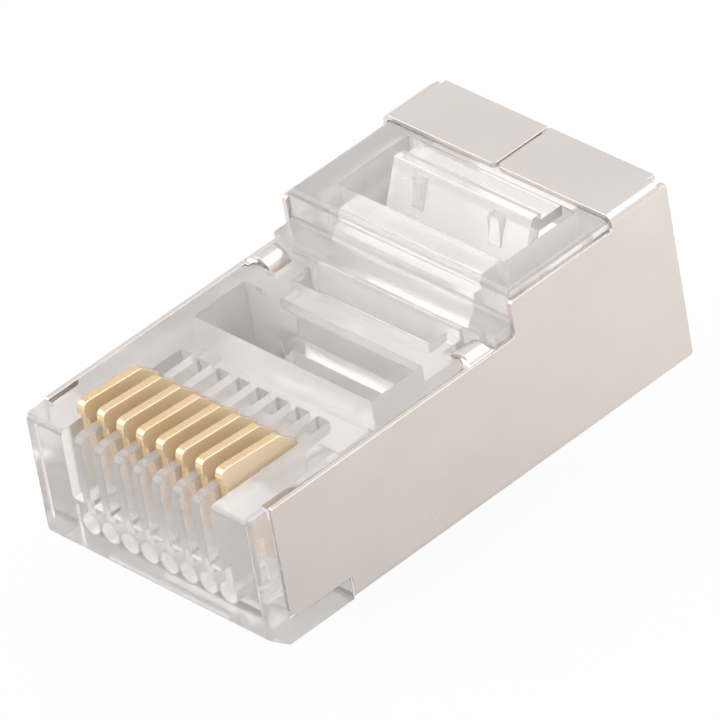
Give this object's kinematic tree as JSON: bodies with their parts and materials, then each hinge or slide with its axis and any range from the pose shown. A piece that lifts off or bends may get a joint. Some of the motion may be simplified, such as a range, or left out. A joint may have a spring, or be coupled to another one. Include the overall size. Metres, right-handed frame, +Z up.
{
  "type": "modular plug",
  "caption": "Clear modular plug with a folded metal shield, raised gold blade contacts in a comb, clamp windows, a cable mouth at the rear and a sprung latch under the nose.",
  "frame": {"origin": "middle of the width, on the nose plane, level with the underside of the shield", "axes": "+X to the right seen from behind the nose, +Y from the nose towards the cable end, +Z up on the contact side, with the latch underneath"},
  "size_m": [0.0118, 0.0215, 0.0115],
  "materials": {
    "clear_plastic": "clear moulded polycarbonate, polished",
    "shield_plate": "thin satin nickel plate on folded sheet",
    "contact_gold": "gold plate over sheared copper alloy"
  },
  "bodies": {
    "plug_body": {"housing": "clear_plastic", "shield": "shield_plate"},
    "latch_arm": {"latch": "clear_plastic"},
    "blade_1": {"contact_1": "contact_gold"},
    "blade_2": {"contact_2": "contact_gold"},
    "blade_3": {"contact_3": "contact_gold"},
    "blade_4": {"contact_4": "contact_gold"},
    "blade_5": {"contact_5": "contact_gold"},
    "blade_6": {"contact_6": "contact_gold"},
    "blade_7": {"contact_7": "contact_gold"},
    "blade_8": {"contact_8": "contact_gold"}
  },
  "joints": [
    {"name": "latch_hinge", "type": "hinge", "parent": "plug_body", "child": "latch_arm", "pos_m": [0, 0.00172, 0], "axis": [1, 0, 0], "range_deg": [0, 11.5], "stiffness_Nm_per_rad": 0.15},
    {"name": "crimp_1", "type": "slide", "parent": "plug_body", "child": "blade_1", "axis": [0, 0, -1], "range_m": [0, 0.00088]},
    {"name": "crimp_2", "type": "slide", "parent": "plug_body", "child": "blade_2", "axis": [0, 0, -1], "range_m": [0, 0.00088]},
    {"name": "crimp_3", "type": "slide", "parent": "plug_body", "child": "blade_3", "axis": [0, 0, -1], "range_m": [0, 0.00088]},
    {"name": "crimp_4", "type": "slide", "parent": "plug_body", "child": "blade_4", "axis": [0, 0, -1], "range_m": [0, 0.00088]},
    {"name": "crimp_5", "type": "slide", "parent": "plug_body", "child": "blade_5", "axis": [0, 0, -1], "range_m": [0, 0.00088]},
    {"name": "crimp_6", "type": "slide", "parent": "plug_body", "child": "blade_6", "axis": [0, 0, -1], "range_m": [0, 0.00088]},
    {"name": "crimp_7", "type": "slide", "parent": "plug_body", "child": "blade_7", "axis": [0, 0, -1], "range_m": [0, 0.00088]},
    {"name": "crimp_8", "type": "slide", "parent": "plug_body", "child": "blade_8", "axis": [0, 0, -1], "range_m": [0, 0.00088]}
  ]
}
